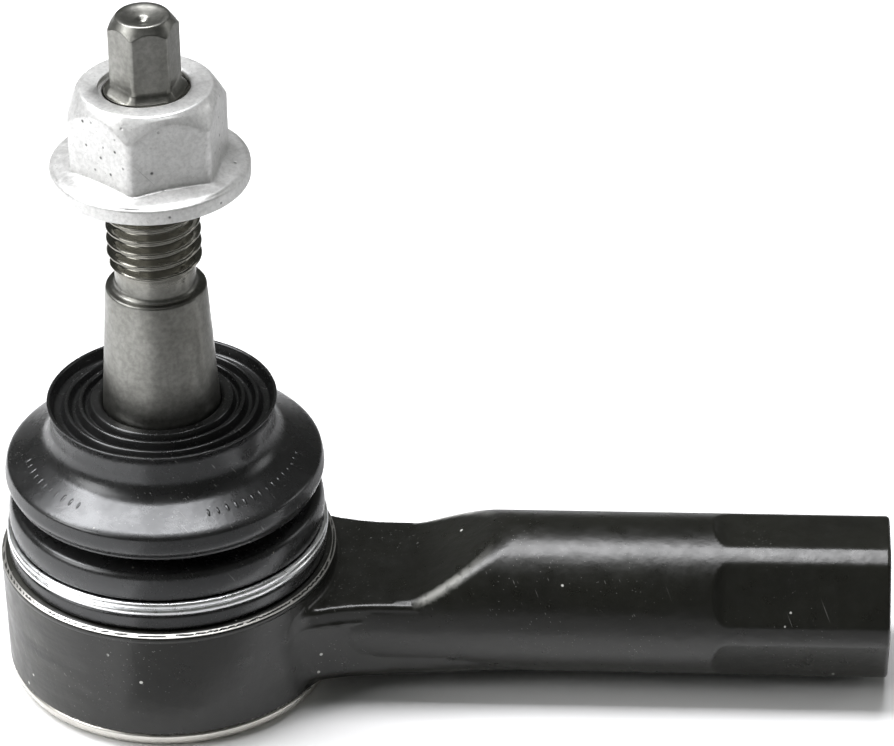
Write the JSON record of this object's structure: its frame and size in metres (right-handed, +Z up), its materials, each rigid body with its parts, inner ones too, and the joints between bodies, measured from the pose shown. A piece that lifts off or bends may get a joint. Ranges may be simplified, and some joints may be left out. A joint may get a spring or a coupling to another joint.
{
  "type": "outer tie rod end",
  "caption": "Steering ball joint: tapered threaded stud with flange nut, rubber dust boot and round eye, on a flattened arm that runs into an internally threaded shank with wrench flats.",
  "frame": {"origin": "the ball's centre, about which the stud swings", "axes": "+Z up the stud's axis at rest, +X out along the shank towards its open end, +Y to the left looking along +X"},
  "size_m": [0.1139, 0.043, 0.0941],
  "materials": {
    "black_coat": "black electro-coat on forged steel, semi-gloss",
    "acetal": "moulded acetal, satin",
    "spring_steel": "oiled spring steel",
    "plated_steel": "pressed steel, zinc plated",
    "stud_steel": "heat-treated steel, turned and rolled, lightly oiled",
    "zinc_flake": "zinc-flake coating, matt silver",
    "boot_rubber": "moulded black rubber, satin",
    "bright_wire": "drawn bright steel wire"
  },
  "bodies": {
    "housing": {"housing": "black_coat", "upper_bearing_seat": "acetal", "lower_bearing_seat": "acetal", "preload_spring": "spring_steel", "cover_plate": "plated_steel", "boot_clamp_ring": "bright_wire"},
    "boot": {"dust_boot": "boot_rubber"},
    "boot_collar": {"boot_top_ring": "spring_steel"},
    "stud": {"ball_stud": "stud_steel"},
    "nut": {"flange_nut": "zinc_flake"}
  },
  "joints": [
    {"name": "swing_along_rod", "type": "hinge", "parent": "housing", "child": "boot", "pos_m": [0, 0, 0], "axis": [0, 1, 0], "range_deg": [-18, 18], "deforming": ["dust_boot"]},
    {"name": "swing_across_rod", "type": "hinge", "parent": "boot", "child": "boot_collar", "pos_m": [0, 0, 0], "axis": [1, 0, 0], "range_deg": [-18, 18], "deforming": ["dust_boot"]},
    {"name": "stud_turn", "type": "hinge", "parent": "boot_collar", "child": "stud", "pos_m": [0, 0, 0], "axis": [0, 0, 1], "continuous": true},
    {"name": "nut_travel", "type": "slide", "parent": "stud", "child": "nut", "axis": [0, 0, 1], "range_m": [-0.0105, 0.014]}
  ]
}
